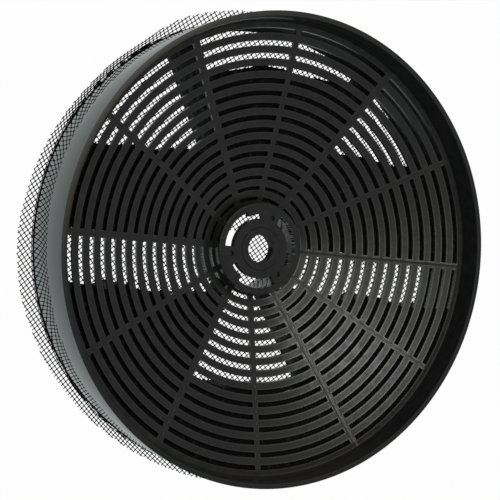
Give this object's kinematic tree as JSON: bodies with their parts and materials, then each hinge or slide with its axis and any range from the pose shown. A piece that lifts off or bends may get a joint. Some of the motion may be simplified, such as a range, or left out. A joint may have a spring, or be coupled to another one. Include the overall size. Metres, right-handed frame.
{
  "type": "round carbon filter",
  "caption": "Round cooker-hood carbon filter: a dished slotted grille with a bayonet hub, walled compartments of loose carbon behind it and a net over the back.",
  "frame": {"origin": "centre of the round part at the height of the net's flat middle, which it lies on", "axes": "+Z out of the slotted grille's face along the hub's axis, +Y towards the edge that is up when the filter stands on its rim, +X to the right seen from the grille side"},
  "size_m": [0.251, 0.251, 0.0611],
  "materials": {
    "black_moulding": "smooth glossy black moulding",
    "black_net": "semi-matt extruded net",
    "carbon": "matt black granules"
  },
  "bodies": {
    "root": {"housing": "black_moulding", "net": "black_net", "carbon_bed_1": "carbon", "carbon_bed_2": "carbon", "carbon_bed_3": "carbon", "carbon_bed_4": "carbon", "carbon_bed_5": "carbon", "carbon_bed_6": "carbon"}
  },
  "joints": []
}
